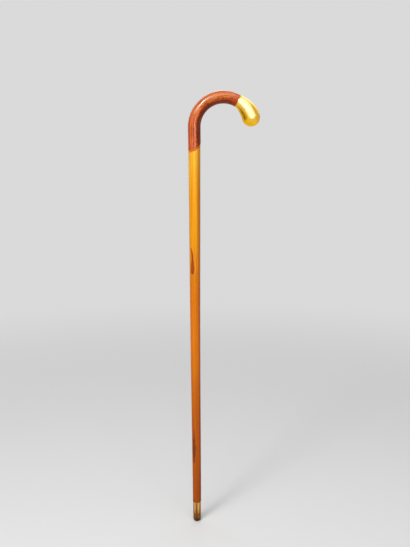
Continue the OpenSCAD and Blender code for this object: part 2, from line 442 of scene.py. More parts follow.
def shape_crook():
    """Bends the crook from a ring: an eased lower end, a neck, the bend and the tenon."""
    grip = grip_radius()
    cap = cap_sizes()
    ease, ease_run, ease_steps = 0.6 * MM, 1.8 * MM, 4
    neck_foot = CROOK_LOW.z - 8 * MM
    piece = ring_through("bent_crook", [upright(neck_foot, grip), (UP, 0, grip)])
    cut_joint(keep_above=True)
    subdivide_long(20 * MM, 24)
    choose_points(lambda co: abs(co.z - bend_centre().z) < 0.01 * MM)
    eased_from = past_mouth(-ease_run)
    bpy.ops.mesh.spin(steps=64, angle=eased_from - UP, center=bend_centre(), axis=(0, 1, 0))
    rounding = [math.pi / 2 * k / ease_steps for k in range(ease_steps + 1)]
    tenon_steps = 8
    carry_ring(
        [(past_mouth(-ease_run * (1 - math.sin(a))), 0, grip - ease * (1 - math.cos(a))) for a in rounding]
        + [(mouth_angle() - cap.tenon_sweep * k / tenon_steps, 0, cap.tenon)
           for k in range(tenon_steps + 1)]
        + [(mouth_angle() - cap.tenon_sweep, 3 * MM, cap.tenon * 2 / 3)])
    bpy.ops.mesh.edge_face_add()
    close_up()

    def bare_wood(co):
        """Full weight on the wood that shows, none in the joint and under the cap."""
        along = grain_place(co).z
        above = (co - joint_middle()).dot(joint_normal()) if along < bend_centre().z else 1
        under = bend_centre().z + (UP - mouth_angle()) * sizes().bend_radius - along
        return max(0.0, min(1.0, above / (8 * MM))) * max(0.0, min(1.0, under / (8 * MM)))

    group = weigh(piece, "bare_wood", bare_wood)
    displace(piece, -sizes().unevenness, group, texture=waves("scraping", 22 * MM))
    drill(piece, Vector((0, 0, DOWEL_LOW.z - 9 * MM)), Vector((0, 0, DOWEL_HIGH.z + 1 * MM)),
          DOWEL_HIGH.x + 0.05 * MM)
    pin = (CAP_PIN_LOW + CAP_PIN_HIGH) / 2
    drill(piece, Vector((pin.x, CAP_PIN_HIGH.y, pin.z)), Vector((pin.x, 2 * CAP_LOW.y, pin.z)),
          (CAP_PIN_HIGH.x - CAP_PIN_LOW.x) / 2)
    return piece


def scar_reach(co):
    """Distance from the healed scar's middle line, against the scar's half width there."""
    share = (co.z - SCAR_FOOT) / (SCAR_HEAD - SCAR_FOOT)
    if not 0 < share < 1 or co.y > 0:
        return SCAR_FAR
    across = math.atan2(co.x, -co.y) * math.hypot(co.x, co.y)
    middle = SCAR_SIDE + SCAR_LEAN * share - SCAR_HOOK * share ** 5
    into_tail = min(1, max(0, (share - 0.36) / 0.1))
    half = SCAR_HALF + (SCAR_TAIL - SCAR_HALF) * into_tail
    half *= min(1, share / 0.1) ** 0.5 * (1 - share ** 8)
    return min(SCAR_FAR, abs(across - middle) / max(half, 0.1 * MM))


def shape_shaft():
    """Raises the shaft from its seat in the ferrule to the joint, with its bow, waves and scar."""
    size = sizes()
    seat = SHAFT_LOW.z
    top = TUBE_HIGH.z
    shoulder = ferrule_sizes().shoulder
    seat_radius = TUBE_HIGH.x - ferrule_sizes().wall - 0.05 * MM
    shoulder_run = 1.2 * MM
    beyond = SHAFT_HIGH.z + 8 * MM
    slope = (size.shaft_top - size.shaft_foot) / (joint_middle().z - 14 * MM - top)
    stations = [
        upright(seat, seat_radius),
        upright(top, seat_radius),
        upright(top, size.shaft_foot - shoulder),
        upright(top + shoulder_run * 0.3, size.shaft_foot - shoulder * 0.3),
        upright(top + shoulder_run, size.shaft_foot + slope * shoulder_run),
        upright(beyond, size.shaft_foot + slope * (beyond - top))]
    piece = ring_through("tapered_shaft", stations)
    cut_joint(keep_above=False)
    subdivide_long(100 * MM, 330)
    fill_ring(lambda co: co.z < seat + 0.01 * MM)
    close_up()

    def free_length(co):
        """Full weight along the shaft, none at the joint and the ferrule."""
        below = -(co - joint_middle()).dot(joint_normal())
        return max(0.0, min(1.0, below / (12 * MM))) * max(0.0, min(1.0, (co.z - top) / (12 * MM)))

    def middle_weight(co):
        share = (co.z - top) / (joint_middle().z - top)
        return math.sin(math.pi * min(1.0, max(0.0, share))) ** 2

    group = weigh(piece, "bow", middle_weight)
    displace(piece, -size.bow, group, direction="X")
    group = weigh(piece, "free_length", free_length)
    displace(piece, -size.unevenness, group, texture=waves("scraping", 22 * MM))
    group = weigh(piece, "scar", lambda co: max(0.0, 1 - scar_reach(co)))
    displace(piece, -size.scar_depth, group)
    drill(piece, Vector((0, 0, DOWEL_LOW.z - 1 * MM)), Vector((0, 0, DOWEL_HIGH.z)),
          DOWEL_HIGH.x + 0.05 * MM)
    pin = (TUBE_PIN_LOW + TUBE_PIN_HIGH) / 2
    drill(piece, Vector((0, TUBE_PIN_LOW.y, pin.z)), Vector((0, 2 * TUBE_HIGH.y, pin.z)),
          (TUBE_PIN_HIGH.x - TUBE_PIN_LOW.x) / 2)
    reach = piece.data.attributes.new("scar_reach", "FLOAT", "POINT")
    for point, value in zip(piece.data.vertices, reach.data):
        value.value = scar_reach(point.co)
    return piece


def shape_cap():
    """Carries one ring up the inside of the cap to its mouth, over the bead and out to the nose."""
    cap = cap_sizes()
    bulb = bulb_radius()
    swell_steps, nose_steps, bead_steps = 36, 20, 8
    last_turn = math.radians(87)
    bulb_at = past_mouth(cap.run)
    arc = [last_turn * k / nose_steps for k in range(nose_steps + 1)]
    inner = CAP_HIGH.y - cap.wall
    inside = ([(bulb_at, inner * math.sin(t), inner * math.cos(t)) for t in reversed(arc)]
              + [(past_mouth(cap.run * (1 - k / swell_steps)), 0,
                  swell(cap.run * (1 - k / swell_steps)) - cap.wall) for k in range(1, swell_steps + 1)])
    roll = [math.pi * k / bead_steps for k in range(bead_steps + 1)]
    bead = [(past_mouth(cap.bead * (1 - math.cos(t))), 0,
             swell(cap.bead * (1 - math.cos(t))) + cap.bead * math.sin(t)) for t in roll]
    start = 2 * cap.bead
    outside = ([(past_mouth(start + (cap.run - start) * k / swell_steps), 0,
                 swell(start + (cap.run - start) * k / swell_steps)) for k in range(1, swell_steps + 1)]
               + [(bulb_at, bulb * math.sin(t), bulb * math.cos(t)) for t in arc[1:]])
    piece = ring_through("gilt_nose_cap", inside + bead + outside)
    for nose in (inner, bulb):
        close_pole(place(bulb_at, nose * math.sin(last_turn)), bulb * math.cos(last_turn) + 0.1 * MM)
    close_up()

    def metal(co):
        along = grain_place(co).z - bend_centre().z - (UP - mouth_angle()) * sizes().bend_radius
        return max(0.0, min(1.0, (along - 3 * MM) / (5 * MM)))

    group = weigh(piece, "metal", metal)
    displace(piece, -cap.dents, group, texture=waves("dents", 9 * MM))
    pin = (CAP_PIN_LOW + CAP_PIN_HIGH) / 2
    drill(piece, Vector((pin.x, CAP_PIN_HIGH.y, pin.z)), Vector((pin.x, 2 * CAP_LOW.y, pin.z)),
          (CAP_PIN_HIGH.x - CAP_PIN_LOW.x) / 2)
    return piece


def shape_pin(name, low, high, way):
    """Draws a short round pin along Y, domed at the end that shows, to its place in the frame."""
    middle = (low + high) / 2
    radius = (high.x - low.x) / 2
    inner, outer = (high.y, low.y) if way < 0 else (low.y, high.y)
    dome = 0.3 * MM
    piece = start_ring(name, (middle.x, inner, middle.z), radius, (math.pi / 2, 0, 0), segments=24)
    dome_foot = outer - way * dome
    push_ring((0, dome_foot - inner, 0), 1, middle)
    last_turn = math.radians(70)
    y, share = dome_foot, 1.0
    for turned in (last_turn / 2, last_turn):
        next_y = dome_foot + way * dome * math.sin(turned) / math.sin(last_turn)
        push_ring((0, next_y - y, 0), math.cos(turned) / share, (middle.x, next_y, middle.z))
        y, share = next_y, math.cos(turned)
    bpy.ops.mesh.edge_face_add()
    fill_ring(lambda co: abs(co.y - inner) < 0.01 * MM)
    close_up()
    return piece


def shape_tube():
    """Carries a ring up the inside of the ferrule, over its rim, down the outside and back."""
    edge = ferrule_sizes().edge
    outer = TUBE_HIGH.x
    inner = outer - ferrule_sizes().wall
    low, high = TUBE_LOW.z, TUBE_HIGH.z
    stations = [upright(low, inner), upright(high - edge / 2, inner), upright(high, inner + edge / 2)]
    stations += [upright(high - edge * (1 - math.cos(t)), outer - edge * (1 - math.sin(t)))
                 for t in (0, math.pi / 6, math.pi / 3, math.pi / 2)]
    stations += [upright(low + edge / 2, outer), upright(low, outer - edge / 2), upright(low, inner)]
    piece = ring_through("brass_ferrule", stations)
    subdivide_long(10 * MM, 30)
    close_up()
    group = weigh(piece, "outside", lambda co: 1.0 if math.hypot(co.x, co.y) > outer - 0.1 * MM
                  and low + 1 * MM < co.z < high - 1 * MM else 0.0)
    displace(piece, -0.08 * MM, group, texture=waves("knocks", 6 * MM))
    pin = (TUBE_PIN_LOW + TUBE_PIN_HIGH) / 2
    drill(piece, Vector((0, TUBE_PIN_LOW.y, pin.z)), Vector((0, 2 * TUBE_HIGH.y, pin.z)),
          (TUBE_PIN_HIGH.x - TUBE_PIN_LOW.x) / 2)
    return piece


def shape_tip():
    """Raises the steel tip from its worn flat, round its edge and up to the stem in the tube."""
    size = ferrule_sizes()
    outer = TIP_HIGH.x
    stem = outer - size.wall
    tube_foot = TUBE_LOW.z
    steps = 10
    worn = [math.pi / 2 * k / steps for k in range(steps + 1)]
    stations = [upright(0, 1 * MM), upright(0, 3 * MM)]
    stations += [upright(size.tip_round_height * (1 - math.cos(a)), outer - size.tip_round * (1 - math.sin(a)))
                 for a in worn]
    stations += [upright(tube_foot - 0.2 * MM, outer), upright(tube_foot, outer - 0.2 * MM),
                 upright(tube_foot, stem), upright(TIP_HIGH.z, stem)]
    piece = ring_through("steel_tip", stations)
    bpy.ops.mesh.edge_face_add()
    close_pole(place(UP, -bend_centre().z), 1.1 * MM)
    subdivide_long(7 * MM, 12)
    close_up()
    group = weigh(piece, "worn", lambda co: max(0.0, min(1.0, (tube_foot - co.z) / (6 * MM))))
    displace(piece, -0.16 * MM, group, texture=waves("knocks", 6 * MM))
    return piece


# Shader nodes


def put(tree, kind, inputs=None, **settings):
    """Adds a node, sets its properties, and sets or links its inputs."""
    node = tree.nodes.new(kind)
    for key, value in settings.items():
        setattr(node, key, value)
    for key, value in (inputs or {}).items():
        if isinstance(value, bpy.types.NodeSocket):
            tree.links.new(value, node.inputs[key])
        else:
            node.inputs[key].default_value = value
    return node


def calc(tree, operation, *values):
    return put(tree, "ShaderNodeMath", dict(enumerate(values)), operation=operation).outputs[0]


def vector_calc(tree, operation, *values):
    return put(tree, "ShaderNodeVectorMath", dict(enumerate(values)), operation=operation)


def ramp(tree, value, start, end, low=0.0, high=1.0):
    """Smooth step from low at start to high at end."""
    return put(tree, "ShaderNodeMapRange", {0: value, 1: start, 2: end, 3: low, 4: high},
               interpolation_type="SMOOTHSTEP").outputs[0]


def mix(tree, share, first, second, way="MIX"):
    return put(tree, "ShaderNodeMix", {0: share, 6: as_rgba(first), 7: as_rgba(second)},
               data_type="RGBA", blend_type=way).outputs[2]


def as_rgba(value):
    if isinstance(value, bpy.types.NodeSocket):
        return value
    return (*value[:3], 1.0)


def noise(tree, vector, scale, detail=2.0, roughness=0.5, distortion=0.0):
    return put(tree, "ShaderNodeTexNoise", {
        "Vector": vector, "Scale": scale, "Detail": detail, "Roughness": roughness,
        "Distortion": distortion}).outputs[0]


def stretched(tree, vector, across, along):
    """Vector divided so that a pattern of scale 1 is that wide across and that long along the cane."""
    size = put(tree, "ShaderNodeCombineXYZ", {0: across, 1: across, 2: along}).outputs[0]
    return vector_calc(tree, "DIVIDE", vector, size).outputs[0]


def parts(tree, vector):
    return put(tree, "ShaderNodeSeparateXYZ", {0: vector}).outputs


def start_group(name, inputs, outputs):
    """Starts a node group, and returns its tree, its input sockets and its output sockets."""
    tree = bpy.data.node_groups.new(name, "ShaderNodeTree")
    for label, kind, default in inputs:
        socket = tree.interface.new_socket(label, in_out="INPUT", socket_type=kind)
        if default is not None:
            socket.default_value = default
    for label, kind in outputs:
        tree.interface.new_socket(label, in_out="OUTPUT", socket_type=kind)
    return tree, put(tree, "NodeGroupInput").outputs, put(tree, "NodeGroupOutput").inputs


def use_group(tree, name, **inputs):
    """Places a group, and fills its inputs by name, with spaces written as underscores."""
    values = {key.replace("_", " "): value for key, value in inputs.items()}
    return put(tree, "ShaderNodeGroup", values, node_tree=bpy.data.node_groups[name]).outputs


VECTOR, FLOAT = "NodeSocketVector", "NodeSocketFloat"


def build_fibre_group():
    """Long fibres and short dark pores that follow the wood."""
    tree, given, out = start_group(
        "wood fibre",
        [("Vector", VECTOR, None), ("Width", FLOAT, 0.5 * MM), ("Length", FLOAT, 40 * MM)],
        [("Fibre", FLOAT), ("Pores", FLOAT), ("Height", FLOAT)])
    fine = stretched(tree, given["Vector"], given["Width"], given["Length"])
    broad = vector_calc(tree, "SCALE", fine)
    broad.inputs["Scale"].default_value = 0.22
    fibre = calc(tree, "ADD", calc(tree, "MULTIPLY", noise(tree, fine, 1.0, 3.0, 0.6), 0.45),
                 calc(tree, "MULTIPLY", noise(tree, broad.outputs[0], 1.0, 2.0), 0.55))
    fibre = ramp(tree, fibre, 0.36, 0.64)
    pore_width = calc(tree, "MULTIPLY", given["Width"], 0.45)
    pore_length = calc(tree, "MULTIPLY", given["Length"], 0.06)
    pores = ramp(tree, noise(tree, stretched(tree, given["Vector"], pore_width, pore_length), 1.0, 1.0),
                 0.64, 0.72)
    tree.links.new(fibre, out["Fibre"])
    tree.links.new(pores, out["Pores"])
    tree.links.new(calc(tree, "SUBTRACT", calc(tree, "MULTIPLY", fibre, 0.5), pores), out["Height"])


def build_scratch_group():
    """Fine scratches in two directions, as thin lines that come and go."""
    tree, given, out = start_group(
        "fine scratches",
        [("Vector", VECTOR, None), ("Spacing", FLOAT, 2 * MM), ("Length", FLOAT, 20 * MM),
         ("Amount", FLOAT, 0.5)],
        [("Mask", FLOAT), ("Height", FLOAT)])
    lines = []
    for tilt, lean in ((0.5, 0.2), (-0.7, 0.9)):
        turned = put(tree, "ShaderNodeMapping", {"Vector": given["Vector"], "Rotation": (tilt, lean, 0)})
        ripple = noise(tree, stretched(tree, turned.outputs[0], given["Spacing"], given["Length"]), 1.0, 3.0)
        lines.append(ramp(tree, calc(tree, "ABSOLUTE", calc(tree, "SUBTRACT", ripple, 0.5)), 0.0, 0.012, 1, 0))
    both = calc(tree, "MAXIMUM", *lines)
    patches = ramp(tree, noise(tree, given["Vector"], 1 / (12 * MM), 2.0), 0.42, 0.62)
    mask = calc(tree, "MULTIPLY", calc(tree, "MULTIPLY", both, patches), given["Amount"])
    tree.links.new(mask, out["Mask"])
    tree.links.new(calc(tree, "MULTIPLY", mask, -1.0), out["Height"])


def build_smudge_group():
    """Uneven gloss left by hands and polishing cloths."""
    tree, given, out = start_group(
        "handling",
        [("Vector", VECTOR, None), ("Size", FLOAT, 14 * MM)],
        [("Smudge", FLOAT)])
    scaled = stretched(tree, given["Vector"], given["Size"], given["Size"])
    big = noise(tree, scaled, 1.0, 4.0, 0.65, 0.6)
    tree.links.new(ramp(tree, big, 0.38, 0.66), out["Smudge"])


def build_seam_group():
    """Dirt that gathers in a seam and thins out unevenly away from it."""
    tree, given, out = start_group(
        "seam dirt",
        [("Vector", VECTOR, None), ("Distance", FLOAT, 0.0), ("Width", FLOAT, 1 * MM)],
        [("Mask", FLOAT)])
    ragged = calc(tree, "MULTIPLY_ADD", noise(tree, given["Vector"], 1 / (1.6 * MM), 3.0), 1.4, -0.2)
    reach = calc(tree, "MULTIPLY", given["Width"], ragged)
    near = calc(tree, "DIVIDE", calc(tree, "ABSOLUTE", given["Distance"]),
                calc(tree, "MAXIMUM", reach, 0.01 * MM))
    tree.links.new(ramp(tree, near, 0.4, 1.6, 1, 0), out["Mask"])


def build_groups():
    build_fibre_group()
    build_scratch_group()
    build_smudge_group()
    build_seam_group()


def new_material(name):
    """Returns a new material, its tree and its shader."""
    material = bpy.data.materials.new(name)
    material.use_nodes = True
    tree = material.node_tree
    return material, tree, tree.nodes["Principled BSDF"]


def wire(tree, shader, **inputs):
    """Sets or links the shader's inputs by name, with spaces written as underscores."""
    for key, value in inputs.items():
        socket = shader.inputs[key.replace("_", " ")]
        if isinstance(value, bpy.types.NodeSocket):
            tree.links.new(value, socket)
        else:
            socket.default_value = value


def bump(tree, height, distance, strength=1.0):
    return put(tree, "ShaderNodeBump", {"Height": height, "Distance": distance, "Strength": strength}).outputs[0]


def object_place(tree):
    return put(tree, "ShaderNodeTexCoord").outputs["Object"]


def grain_attribute(tree):
    return put(tree, "ShaderNodeAttribute", attribute_name="along_grain").outputs["Vector"]


def joint_distance(tree, vector):
    """Height over the joint's sloping face."""
    over = vector_calc(tree, "DOT_PRODUCT", vector, tuple(joint_normal())).outputs["Value"]
    return calc(tree, "SUBTRACT", over, joint_middle().z)


def crook_varnish():
    """Glossy red-brown stain, light outside and dark inside the bend, with grain along the wood. The orange top of
    the bend is partly hand wear and partly painted sheen, and the outer edge of the bend has painted shade.
    """
    material, tree, shader = new_material("crook varnish")
    colour = finishes()
    grain = grain_attribute(tree)
    fibre = use_group(tree, "wood fibre", Vector=grain, Width=0.7 * MM, Length=30 * MM)
    x, y, along = parts(tree, grain)
    bend_from = bend_centre().z
    bent = ramp(tree, along, bend_from, bend_from + 45 * MM)
    cloudy = noise(tree, stretched(tree, grain, 7 * MM, 22 * MM), 1.0, 3.0, 0.55)
    edge = calc(tree, "ADD", x, calc(tree, "MULTIPLY", calc(tree, "SUBTRACT", cloudy, 0.5), 12 * MM))
    # The bent part turns orange: partly hand wear, partly a painted sheen on the top of the bend.
    base = mix(tree, bent, colour.crook_neck, colour.crook_crown)
    # Painted shade: the outer edge of the bend darkens towards red.
    base = mix(tree, ramp(tree, edge, -6 * MM, -11 * MM, 0, 0.4), base, colour.crook_red)
    cheek = calc(tree, "MULTIPLY", ramp(tree, edge, -0.5 * MM, 3 * MM), bent)
    base = mix(tree, cheek, base, colour.crook_side)
    inside = ramp(tree, calc(tree, "SUBTRACT", edge, calc(tree, "MULTIPLY", bent, 2 * MM)), 2.4 * MM, 5.6 * MM)
    base = mix(tree, inside, base, colour.crook_inner)
    spots = ramp(tree, noise(tree, stretched(tree, grain, 2.6 * MM, 6 * MM), 1.0, 2.0), 0.48, 0.66)
    towards_inside = ramp(tree, edge, -5 * MM, 3 * MM, 0.2, 0.8)
    base = mix(tree, calc(tree, "MULTIPLY", spots, towards_inside), base, colour.crook_mottle)
    lines = noise(tree, stretched(tree, grain, 1.3 * MM, 40 * MM), 1.0, 2.0, 0.6)
    base = mix(tree, ramp(tree, lines, 0.47, 0.62, 0, 0.5), base, colour.crook_inner)
    base = mix(tree, ramp(tree, lines, 0.44, 0.34, 0, 0.4), base, colour.crook_thin)
    base = mix(tree, calc(tree, "MULTIPLY", fibre["Fibre"], 0.2), base, colour.crook_mottle)
    mouth_at = bend_from + (UP - mouth_angle()) * sizes().bend_radius
    to_mouth = calc(tree, "SUBTRACT", mouth_at, along)
    base = mix(tree, ramp(tree, to_mouth, 2 * MM, 14 * MM, 0.6, 0), base, colour.crook_red)
    over_joint = joint_distance(tree, grain)
    thin_edge = calc(tree, "ADD", over_joint, calc(tree, "MULTIPLY", fibre["Fibre"], 2.5 * MM))
    base = mix(tree, ramp(tree, thin_edge, 1.5 * MM, 7 * MM, 0.85, 0), base, colour.crook_thin)
    dirt = calc(tree, "MAXIMUM",
                use_group(tree, "seam dirt", Vector=grain, Distance=over_joint, Width=0.5 * MM)["Mask"],
                use_group(tree, "seam dirt", Vector=grain, Distance=to_mouth, Width=0.8 * MM)["Mask"])
    base = mix(tree, calc(tree, "MULTIPLY", dirt, 0.85), base, colour.dirt)
    smudge = use_group(tree, "handling", Vector=grain, Size=16 * MM)["Smudge"]
    scratch = use_group(tree, "fine scratches", Vector=grain, Spacing=3 * MM, Length=30 * MM, Amount=0.6)
    rough = calc(tree, "ADD", ramp(tree, smudge, 0, 1, 0.3, 0.42), calc(tree, "MULTIPLY", dirt, 0.2))
    dull = calc(tree, "SUBTRACT", 1.0, calc(tree, "MULTIPLY", calc(tree, "MAXIMUM", dirt, scratch["Mask"]), 0.6))
    reached = calc(tree, "ADD", edge, calc(tree, "MULTIPLY", bent, 3.5 * MM))
    handled = calc(tree, "MULTIPLY", ramp(tree, reached, 4 * MM, 1 * MM), ramp(tree, bent, 0, 1, 0.8, 1.0))
    glossy = calc(tree, "MULTIPLY", ramp(tree, lines, 0.6, 0.42, 0.4, 1.0), ramp(tree, handled, 0, 1, 0.25, 1.0))
    coat = calc(tree, "MULTIPLY", glossy, dull)
    wire(tree, shader, Base_Color=base, Roughness=rough, Coat_Weight=coat, Coat_Roughness=0.2,
         Coat_IOR=1.65, Specular_IOR_Level=0.06, Normal=bump(tree, fibre["Height"], 0.04 * MM))
    return material


def shaft_varnish():
    """Honey-coloured wood that darkens towards the foot, under a satin varnish."""
    material, tree, shader = new_material("shaft varnish")
    colour = finishes()
    vector = object_place(tree)
    fibre = use_group(tree, "wood fibre", Vector=vector, Width=0.55 * MM, Length=60 * MM)
    x, y, height = parts(tree, vector)
    wander = noise(tree, stretched(tree, vector, 9 * MM, 90 * MM), 1.0, 2.0)
    level = calc(tree, "ADD", height, calc(tree, "MULTIPLY", calc(tree, "SUBTRACT", wander, 0.5), 90 * MM))
    base = mix(tree, ramp(tree, level, 60 * MM, 150 * MM), colour.shaft_foot, colour.shaft_lower)
    base = mix(tree, ramp(tree, level, 180 * MM, 430 * MM), base, colour.shaft_middle)
    base = mix(tree, ramp(tree, level, 470 * MM, 640 * MM), base, colour.shaft_upper)
    base = mix(tree, ramp(tree, level, 690 * MM, 775 * MM), base, colour.shaft_top)
    shade = mix(tree, 1.0, base, (0.62, 0.48, 0.34), "MULTIPLY")
    streaks = ramp(tree, noise(tree, stretched(tree, vector, 3 * MM, 160 * MM), 1.0, 2.0), 0.42, 0.66)
    base = mix(tree, calc(tree, "MULTIPLY", streaks, 0.42), base, shade)
    # Painted shade: the wood darkens towards its +x side, along a wandering edge.
    lean = calc(tree, "ADD", x, calc(tree, "MULTIPLY", calc(tree, "SUBTRACT", wander, 0.5), 5 * MM))
    base = mix(tree, ramp(tree, lean, 2.6 * MM, 8 * MM, 0, 0.85), base, shade)
    base = mix(tree, calc(tree, "MULTIPLY", fibre["Fibre"], 0.42), base, shade)
    base = mix(tree, calc(tree, "MULTIPLY", fibre["Pores"], 0.6), base, shade)
    angle = calc(tree, "ARCTAN2", x, calc(tree, "MULTIPLY", y, -1.0))
    radius = vector_calc(tree, "LENGTH", put(tree, "ShaderNodeCombineXYZ", {0: x, 1: y}).outputs[0])
    across = calc(tree, "MULTIPLY", angle, radius.outputs["Value"])
    ragged = calc(tree, "MULTIPLY", calc(tree, "SUBTRACT", noise(tree, vector, 1 / (3 * MM), 3.0), 0.5), 0.5)
    reach = calc(tree, "ADD", put(tree, "ShaderNodeAttribute", attribute_name="scar_reach").outputs["Fac"], ragged)
    scar_rim = ramp(tree, reach, 1.1, 1.8, 1, 0)
    scar = ramp(tree, reach, 0.75, 1.05, 1, 0)
    scar_core = ramp(tree, reach, 0.1, 0.7, 1, 0)
    base = mix(tree, calc(tree, "MULTIPLY", scar_rim, 0.2), base, colour.scar_rim)
    base = mix(tree, calc(tree, "MULTIPLY", scar, 0.92), base, colour.scar)
    cracks = ramp(tree, noise(tree, stretched(tree, vector, 0.8 * MM, 9 * MM), 1.0, 3.0, 0.6), 0.42, 0.62, 0.1, 0.75)
    base = mix(tree, calc(tree, "MULTIPLY", scar_core, cracks), base, colour.crook_mottle)
    smudge_place = put(tree, "ShaderNodeCombineXYZ", {
        0: calc(tree, "DIVIDE", calc(tree, "ADD", across, 5.6 * MM), 3.6 * MM),
        1: calc(tree, "DIVIDE", calc(tree, "SUBTRACT", height, 165 * MM), 36 * MM)}).outputs[0]
    away = vector_calc(tree, "LENGTH", smudge_place).outputs["Value"]
    patchy = noise(tree, stretched(tree, vector, 3 * MM, 10 * MM), 1.0, 2.0)
    patch = ramp(tree, calc(tree, "ADD", away, calc(tree, "MULTIPLY_ADD", patchy, 1.6, -0.8)), 0.5, 1.3, 0.9, 0)
    base = mix(tree, patch, base, colour.stain)
    under_joint = calc(tree, "MULTIPLY", joint_distance(tree, vector), -1.0)
    base = mix(tree, ramp(tree, under_joint, 0.8 * MM, 4 * MM, 0.6, 0), base, colour.crook_thin)
    over_foot = calc(tree, "SUBTRACT", height, TUBE_HIGH.z)
    # Painted shade: the wood darkens in a band just above the ferrule.
    base = mix(tree, ramp(tree, over_foot, 1 * MM, 9 * MM, 0.45, 0), base, shade)
    dirt = calc(tree, "MAXIMUM",
                use_group(tree, "seam dirt", Vector=vector, Distance=under_joint, Width=0.5 * MM)["Mask"],
                use_group(tree, "seam dirt", Vector=vector, Distance=over_foot, Width=0.8 * MM)["Mask"])
    base = mix(tree, calc(tree, "MULTIPLY", dirt, 0.8), base, colour.dirt)
    smudge = use_group(tree, "handling", Vector=vector, Size=20 * MM)["Smudge"]
    scratch = use_group(tree, "fine scratches", Vector=vector, Spacing=3 * MM, Length=40 * MM, Amount=0.5)
    rough = calc(tree, "ADD", ramp(tree, smudge, 0, 1, 0.36, 0.5), calc(tree, "MULTIPLY", dirt, 0.2))
    gloss = ramp(tree, height, 100 * MM, 700 * MM, 0.12, 0.24)
    dull = calc(tree, "SUBTRACT", 1.0, calc(tree, "MULTIPLY", calc(tree, "MAXIMUM", dirt, scratch["Mask"]), 0.7))
    coat = calc(tree, "MULTIPLY", gloss, dull)
    wire(tree, shader, Base_Color=base, Roughness=rough, Coat_Weight=coat, Coat_Roughness=0.2,
         Specular_IOR_Level=0.06, Normal=bump(tree, fibre["Height"], 0.05 * MM))
    return material


def polished_gilt():
    """Polished gilt with painted reflections: a pale painted highlight on the crown, painted amber reflections on
    the inner side and under the bulb, a painted dull reflection along the outer rim and a dark one in the waist,
    with fine scratches.
    """
    material, tree, shader = new_material("polished gilt")
    colour = finishes()
    grain = grain_attribute(tree)
    x, y, along = parts(tree, grain)
    height = parts(tree, object_place(tree))[2]
    bulb_height = place(past_mouth(cap_sizes().run)).z
    mouth_at = bend_centre().z + (UP - mouth_angle()) * sizes().bend_radius
    past = calc(tree, "SUBTRACT", along, mouth_at)
    smudge = use_group(tree, "handling", Vector=grain, Size=9 * MM)["Smudge"]
    wander = calc(tree, "MULTIPLY", calc(tree, "SUBTRACT", smudge, 0.5), 3 * MM)
    edge = calc(tree, "ADD", x, wander)
    below = calc(tree, "ADD", calc(tree, "SUBTRACT", bulb_height, height), wander)
    # Painted reflections: amber on the inner side and below the bulb's middle, dull gold along the outer side past
    # the waist.
    deep = calc(tree, "MAXIMUM", ramp(tree, edge, 2.5 * MM, 8.5 * MM), ramp(tree, below, -1 * MM, 6 * MM))
    rim = calc(tree, "MULTIPLY", ramp(tree, edge, -5 * MM, -12 * MM), ramp(tree, past, 12 * MM, 30 * MM))
    base = mix(tree, rim, colour.gilt_pale_highlight, colour.gilt_rim_reflection)
    base = mix(tree, deep, base, colour.gilt_amber_reflection)
    # Painted reflection: a dark olive band in the waist of the cap.
    waist = calc(tree, "MULTIPLY", ramp(tree, past, 12 * MM, 22 * MM), ramp(tree, past, 46 * MM, 38 * MM))
    side = calc(tree, "MULTIPLY_ADD", wander, 0.5, x)
    band = calc(tree, "MULTIPLY", ramp(tree, side, 8 * MM, 10.5 * MM), ramp(tree, side, 14.5 * MM, 12 * MM))
    hollow = calc(tree, "MULTIPLY", calc(tree, "MULTIPLY", band, ramp(tree, smudge, 0, 1, 0.75, 0.4)), waist)
    base = mix(tree, hollow, base, colour.gilt_dark_reflection)
    seam = use_group(tree, "seam dirt", Vector=grain, Distance=calc(tree, "SUBTRACT", past, 1.5 * MM),
                     Width=0.7 * MM)["Mask"]
    base = mix(tree, calc(tree, "MULTIPLY", seam, 0.6), base, colour.brass_dark)
    scratch = use_group(tree, "fine scratches", Vector=grain, Spacing=1.6 * MM, Length=14 * MM, Amount=0.8)
    rough = calc(tree, "ADD", ramp(tree, smudge, 0, 1, 0.2, 0.3), calc(tree, "MULTIPLY", scratch["Mask"], 0.12))
    wire(tree, shader, Base_Color=base, Metallic=1.0, Roughness=rough, Specular_Tint=(0.95, 0.75, 0.45, 1),
         Normal=bump(tree, scratch["Height"], 0.02 * MM, 0.6))
    return material


def painted_reflection_streaks(tree, vector):
    """Painted reflection: six dark streaks that run up and down round the ferrule."""
    x, y, height = parts(tree, vector)
    angle = calc(tree, "ARCTAN2", x, calc(tree, "MULTIPLY", y, -1.0))
    wander = calc(tree, "MULTIPLY", noise(tree, stretched(tree, vector, 6 * MM, 30 * MM), 1.0, 2.0), 1.6)
    lobes = calc(tree, "COSINE", calc(tree, "ADD", calc(tree, "MULTIPLY_ADD", angle, 6.0, -3.3), wander))
    return ramp(tree, lobes, 0.7, -0.6)


